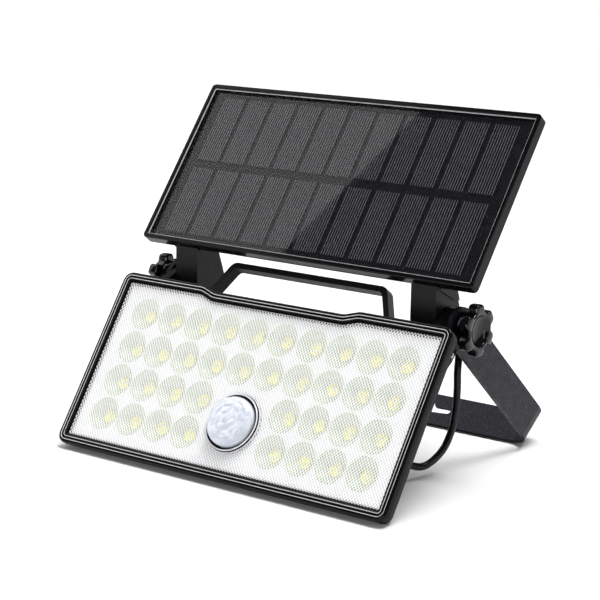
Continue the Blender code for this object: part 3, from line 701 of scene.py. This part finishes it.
def build_studio():
    """Pale surroundings, a soft shadow from above and gloss from the front and right."""
    build_world()
    build_floor()
    overhead(power=3.65, spread=34, direction=(0.16, 0.22, 1.0))
    softbox("front_fill", at=(0.1, -2.0, 0.55), aim=(0, 0, 0.05), width=1.3, height=0.6,
            power=11)
    softbox("right_strip", at=(1.3, -0.2, 0.5), aim=(0, 0, 0.08), width=0.2, height=1.0,
            power=2.5)
    window_light(distance=1.1, width=1.0, length=2.2, power=10)


# ----------------------------------------------------------------------- cable

def cable_route():
    """Out of the lamp gland, back and down, then up behind the leg to the panel gland."""
    lamp_x, lamp_v = LAMP_GLAND
    panel_x, panel_v = PANEL_GLAND
    gap = GLAND_LONG - GLAND_OVERLAP
    start = [LAMP @ (Vector((lamp_x, SHELL_BACK + gap + d, lamp_v)) * MM) for d in LAMP_RUN]
    path = [LAMP @ (Vector(point) * MM) for point in CABLE_ROUTE]
    end = [PANEL @ (Vector((panel_x, PANEL_BACK + gap + d, panel_v)) * MM) for d in PANEL_RUN]
    return start + path + end


def smooth_path(points, per_span=6):
    """Curve through the points, a few short steps to each span."""
    padded = [points[0] * 2 - points[1]] + points + [points[-1] * 2 - points[-2]]
    result = []
    for i in range(1, len(padded) - 2):
        p0, p1, p2, p3 = padded[i - 1:i + 3]
        for j in range(per_span):
            t = j / per_span
            bend = 2 * p0 - 5 * p1 + 4 * p2 - p3
            twist = 3 * p1 - p0 - 3 * p2 + p3
            result.append(0.5 * (2 * p1 + (p2 - p0) * t + bend * t * t + twist * t * t * t))
    result.append(points[-1])
    return result


def build_cable():
    """Round two-core lead."""
    path = smooth_path(cable_route())
    loops = []
    side = Vector((1, 0, 0))
    for i, point in enumerate(path):
        ahead = path[min(i + 1, len(path) - 1)]
        behind = path[max(i - 1, 0)]
        along = (ahead - behind).normalized()
        side = (side - side.dot(along) * along).normalized()
        up = along.cross(side)
        loops.append([point + side * a * MM + up * b * MM
                      for a, b in circle(CABLE_R, CABLE_SIDES)])
    verts, faces = skin(loops)
    mesh = bpy.data.meshes.new("lead")
    mesh.from_pydata(verts, [], faces)
    mesh.shade_smooth()
    mesh.materials.append(black_rubber("lead_jacket", 1200))
    obj = placed("lead", mesh, Matrix.Identity(4))
    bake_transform(obj)
    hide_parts("cable")


# ------------------------------------------------------------------- lamp face

def build_bezel():
    """Glossy front frame: rounded lip, groove, fine ridge and the step down to the lens, with pale
    strips of painted highlight along its ridge tops.
    """
    rim = outlined(lamp_outline, BEZEL_PROFILE, True)
    obj = piece("bezel", rim, LAMP, "head", GLOSS)
    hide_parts("front_bezel")
    crest_highlights = []
    for inset, depth in CREST_HIGHLIGHTS:
        crest = [(inset - CREST_FOOT, depth + CREST_SINK), (inset - CREST_TOP, depth - CREST_RISE),
                 (inset + CREST_TOP, depth - CREST_RISE), (inset + CREST_FOOT, depth + CREST_SINK)]
        crest_highlights.append(outlined(lamp_outline, crest, True))
    # The pale strips are painted highlight along the ridges
    piece("bezel_crest_highlights", merged(crest_highlights), LAMP, "head", CREST_HIGHLIGHT)


def holed_cell(centre, half_u, half_v, radius, depth, count):
    """Flat cell with a round hole, as quads from the hole out to the cell's edge."""
    u0, v0 = centre
    inner = []
    outer = []
    for a, b in circle(1.0, count, math.pi / 4):
        reach = 1 / max(abs(a), abs(b))
        inner.append((u0 + a * radius, depth, v0 + b * radius))
        outer.append((u0 + a * reach * half_u, depth, v0 + b * reach * half_v))
    return skin([inner, outer], capped=False)


def cup_centres():
    """Lamp positions; the two middle columns of the lower rows give way to the sensor."""
    centres = []
    for row in range(CUP_ROWS):
        v = LAMP_H / 2 + ((CUP_ROWS - 1) / 2 - row) * CUP_PITCH_V
        for column in range(CUP_COLUMNS):
            if row < CUP_ROWS / 2 or column not in SENSOR_COLUMNS:
                centres.append(((column - (CUP_COLUMNS - 1) / 2) * CUP_PITCH_U, v))
    return centres


def holed_sheet(name, outline, hole, depth):
    """Flat mesh between an outline and a hole in it."""
    shape = bmesh.new()
    loops = []
    for ring in (outline, hole):
        verts = [shape.verts.new((u * MM, depth * MM, v * MM)) for u, v in ring]
        loops += [shape.edges.new((verts[i], verts[(i + 1) % len(verts)]))
                  for i in range(len(verts))]
    bmesh.ops.triangle_fill(shape, use_beauty=True, edges=loops)
    mesh = bpy.data.meshes.new(name)
    shape.to_mesh(mesh)
    shape.free()
    return mesh


def thickened(obj, thickness):
    """Give a flat sheet its thickness, half to each side."""
    thick = obj.modifiers.new("thick", 'SOLIDIFY')
    thick.thickness = thickness * MM
    thick.offset = 0
    return thick


def build_lens():
    """Clear sheet with a round hole for the sensor."""
    hole = [(a, SENSOR_V + b) for a, b in circle(LENS_HOLE_R, LENS_HOLE_SIDES)]
    mesh = holed_sheet("lens", lamp_outline(LENS_INSET), hole, LENS_FRONT)
    mesh.materials.append(lens_clear())
    mesh.materials.append(lens_inner())
    obj = placed("lens", mesh, LAMP @ Matrix.Translation((0, LENS_THICK / 2 * MM, 0)))
    obj.visible_shadow = False
    thick = thickened(obj, LENS_THICK)
    thick.material_offset = 1
    thick.material_offset_rim = 1
    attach(obj, "head")
    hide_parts("front_lens")


def build_tray():
    """White reflector plate: 36 cups with a rolled lip, and the round sensor opening."""
    shapes = [holed_cell(centre, CUP_PITCH_U / 2, CUP_PITCH_V / 2, CUP_MOUTH_R + CUP_HOLE_GAP,
                         TRAY_FRONT, CUP_SIDES) for centre in cup_centres()]
    middle = (0.0, LAMP_H / 2 - CUP_PITCH_V)
    shapes.append(holed_cell(middle, CUP_PITCH_U, CUP_PITCH_V, LENS_HOLE_R, TRAY_FRONT,
                             LENS_HOLE_SIDES))
    plate = piece("tray_plate", merged(shapes), LAMP, "head", TRAY)
    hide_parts("reflector_tray")
    build_margin()
    build_cups()


def build_margin():
    """White border between the cups and the cover's dark seal."""
    half_u = CUP_COLUMNS / 2 * CUP_PITCH_U
    low = LAMP_H / 2 - CUP_ROWS / 2 * CUP_PITCH_V
    high = LAMP_H / 2 + CUP_ROWS / 2 * CUP_PITCH_V
    opening = [(-half_u, low), (half_u, low), (half_u, high), (-half_u, high)]
    mesh = holed_sheet("tray_margin", lamp_outline(MARGIN_INSET), opening, MARGIN_FRONT)
    mesh.materials.append(TRAY)
    obj = placed("tray_margin", mesh, LAMP)
    thickened(obj, MARGIN_THICK)
    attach(obj, "head")


def cup_profile():
    """(radius, depth) steps down a cup, from its rolled lip to its foot."""
    lip = TRAY_FRONT - CUP_LIP
    throat = TRAY_FRONT + CUP_THROAT
    profile = [(CUP_MOUTH_R + 0.55, TRAY_FRONT), (CUP_MOUTH_R + 0.45, lip),
               (CUP_MOUTH_R + 0.15, lip), (CUP_MOUTH_R, throat)]
    for i in range(1, CUP_STEPS + 1):
        t = i / CUP_STEPS
        radius = CUP_MOUTH_R + (CUP_FOOT_R - CUP_MOUTH_R) * t ** CUP_FLARE
        profile.append((radius, throat + (CUP_BOTTOM - throat) * t))
    return profile


def build_cups():
    """Cup walls with their feet, and a yellow lamp in each."""
    profile = cup_profile()
    walls = []
    caps = []
    for u, v in cup_centres():
        loops = [[(u + a, depth, v + b) for a, b in circle(r, CUP_SIDES)]
                 for r, depth in profile]
        verts, faces = skin(loops, capped=False)
        faces.append(tuple(range(len(verts) - CUP_SIDES, len(verts))))
        walls.append((verts, faces))
        caps.append(skin([[(u + a * CAP_HALF_U, CUP_BOTTOM + depth, v + b * CAP_HALF_V)
                           for a, b in circle(r, 24)] for r, depth in CAP_PROFILE]))
    piece("cups", merged(walls), LAMP, "head", CUP)
    piece("phosphor_caps", merged(caps), LAMP, "head", PHOSPHOR)


def dome_height(r, turn):
    """Depth of the sensor dome at a radius and turn, with its shallow lens facets."""
    inner, outer = next(pair for pair in zip(DOME_PROFILE, DOME_PROFILE[1:])
                        if r <= pair[1][0])
    t = (r - inner[0]) / (outer[0] - inner[0])
    base = inner[1] + (outer[1] - inner[1]) * t
    low, high, count = next(ring for ring in DOME_FACETS if r <= ring[1])
    if count == 1:
        across = r / high
        along = 0.0
    else:
        across = 2 * (r - low) / (high - low) - 1
        along = 2 * ((turn / (2 * math.pi) * count + FACET_SKEW * low) % 1.0) - 1
    return base - FACET_DEPTH * (1 - across * across) * (1 - along * along)


def build_sensor():
    """Faceted milky dome, with the pale trim on its collar and the seal round it."""
    turns = [2 * math.pi * j / DOME_SIDES for j in range(DOME_SIDES)]
    loops = []
    for i in range(1, DOME_RINGS + 1):
        r = DOME_R * i / DOME_RINGS
        loops.append([(r * math.cos(t), dome_height(r, t), SENSOR_V + r * math.sin(t))
                      for t in turns])
    for depth in DOME_SKIRT:
        loops.append([(a, depth, SENSOR_V + b) for a, b in circle(DOME_R, DOME_SIDES)])
    dome = piece("dome", skin(loops), LAMP, "head", dome_milky(), 60)
    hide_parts("pir_dome")
    trim = merged([ring_about(profile, (0, SENSOR_V), 96)
                   for profile in (TRIM_PROFILE, SEAL_PROFILE)])
    piece("sensor_ring", trim, LAMP, "head", ring_clear())


# ----------------------------------------------------------------------- panel

def build_panel_face():
    """Cells with their printed fingers, and a pale strip painted as the highlight on the cover
    sheet's edge.
    """
    sheet = outlined(panel_outline, [(BACKING_INSET, depth) for depth in BACKING_DEPTHS], False)
    cell_front, cell_back = CELL_DEPTHS
    finger_front, finger_back = FINGER_DEPTHS
    cells = []
    fingers = []
    for column in range(CELL_COLUMNS):
        u = (column - (CELL_COLUMNS - 1) / 2) * CELL_PITCH
        for low in (PANEL_H / 2 + CELL_ROW_GAP / 2, PANEL_H / 2 - CELL_ROW_GAP / 2 - CELL_H):
            cells.append(box((u - CELL_W / 2, cell_front, low),
                             (u + CELL_W / 2, cell_back, low + CELL_H)))
            for i in range(FINGERS):
                at = u + (i - (FINGERS - 1) / 2) * CELL_W / FINGER_GAPS
                fingers.append(box((at - FINGER_HALF, finger_front, low + FINGER_END),
                                   (at + FINGER_HALF, finger_back, low + CELL_H - FINGER_END)))
    obj = piece("cell_sheet", merged([sheet] + cells), PANEL, "panel",
                solar_cell())
    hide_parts("solar_cells")
    piece("cell_fingers", merged(fingers), PANEL, "panel", silver_print())
    # Pale strip round the cover's edge: painted highlight on the glass edge
    edge = outlined(panel_outline, COVER_EDGE_PROFILE, True)
    piece("cover_edge_highlight", edge, PANEL, "panel", COVER_EDGE_HIGHLIGHT)


# ----------------------------------------------------------------------- knobs

def star_radius(angle, scale):
    """Radius of the lobed outline; tanh flattens the lobes and keeps the gaps round."""
    wave = math.cos(KNOB_LOBES * (angle - math.pi / 2))
    lobe = 0.5 + 0.5 * math.tanh(LOBE_FLATNESS * wave + LOBE_BIAS)
    return scale * (KNOB_WAIST_R + (KNOB_R - KNOB_WAIST_R) * lobe)


def build_knob(side, word):
    """Six-lobed knob with a round hub, rolled edges and a dished face."""
    angles = [2 * math.pi * i / KNOB_SIDES for i in range(KNOB_SIDES)]
    hub = [(4.75, 94.3), (4.75, KNOB_BASE + 0.2), (5.0, KNOB_BASE), (7.9, KNOB_BASE),
           (8.3, KNOB_BASE + 0.3), (8.5, KNOB_BASE + 0.9), (8.6, 92.5)]
    star = [(0.86, 92.6), (0.95, 92.75), (0.99, 93.1), (1.0, 93.6), (1.0, 96.9), (0.99, 97.5),
            (0.96, 97.95), (0.91, KNOB_FACE)]
    bowl = [(8.0, KNOB_FACE), (7.7, 98.05), (7.4, 97.7), (6.9, 96.9), (5.9, 96.1), (4.4, 95.6),
            (2.8, 95.2), (1.2, 95.05), (0.4, 95.05)]
    loops = [[(r * math.cos(t), d, r * math.sin(t)) for t in angles] for r, d in hub]
    loops += [[(star_radius(t, k) * math.cos(t), d, star_radius(t, k) * math.sin(t))
               for t in angles] for k, d in star]
    loops += [[(r * math.cos(t), d, r * math.sin(t)) for t in angles] for r, d in bowl]
    at = Matrix.Translation(PIVOT) @ Matrix.Rotation(-side * math.pi / 2, 4, 'Z')
    obj = piece(f"star_knob_{word}", skin(loops), at, f"{word}_knob", KNOB)
    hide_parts(f"knob_{word}")


# ------------------------------------------------------------- carried-over CAD

def dress(node, made, bevel=0.0, smooth=32.0):
    """A CAD piece keeps its shape: its edges are softened and it gets its finish."""
    obj = nodes[node]
    obj.data.materials.clear()
    obj.data.materials.append(made)
    obj.data.shade_smooth()
    obj.data.set_sharp_from_angle(angle=math.radians(smooth))
    if bevel:
        soft = obj.modifiers.new("soft_edges", 'BEVEL')
        soft.width = bevel * MM
        soft.segments = 2
        soft.limit_method = 'ANGLE'
        soft.angle_limit = math.radians(smooth)
        soft.harden_normals = True


def dress_all():
    """Finish and edge softening, in millimetres, of each CAD piece kept as it is."""
    finishes = {
        "rear_shell": (SATIN, 0.3), "handle": (SATIN, 0.6), "panel_back": (SATIN, 0.3),
        "panel_leg_left": (SATIN, 0.35), "panel_leg_right": (SATIN, 0.35),
        "panel_frame": (GLOSS, 0.0), "mounting_bracket": (POWDER, 0.3),
        "lamp_gland": (GLOSS, 0.0), "panel_gland": (GLOSS, 0.0), "pir_collar": (GLOSS, 0.0),
        "lens_gasket": (RUBBER, 0.0), "power_button": (RUBBER, 0.2), "usb_flap": (RUBBER, 0.2),
        "pir_sensor": (STEEL, 0.0), "usb_port": (STEEL, 0.0), "control_board": (BOARD, 0.0),
        "led_board": (TRAY, 0.0), "battery_cell_1": (WRAP, 0.0), "battery_cell_2": (WRAP, 0.0),
        "panel_glass": (cover_sheet(), 0.0),
    }
    for side in ("left", "right"):
        finishes[f"hinge_bolt_{side}"] = (STEEL, 0.0)
        finishes[f"friction_washer_{side}"] = (RUBBER, 0.0)
        finishes[f"clamp_washer_{side}"] = (GLOSS, 0.0)
        finishes[f"knob_insert_{side}"] = (BRASS, 0.0)
    for node in nodes:
        if "screw" in node:
            finishes[node] = (STEEL, 0.0)
    for node, (made, bevel) in finishes.items():
        dress(node, made, bevel)


build_camera()
build_cable()
build_studio()
build_bezel()
build_lens()
build_tray()
build_sensor()
build_panel_face()
for side, word in ((-1, "left"), (1, "right")):
    build_knob(side, word)
dress_all()
bpy.context.scene.view_settings.view_transform = 'Standard'
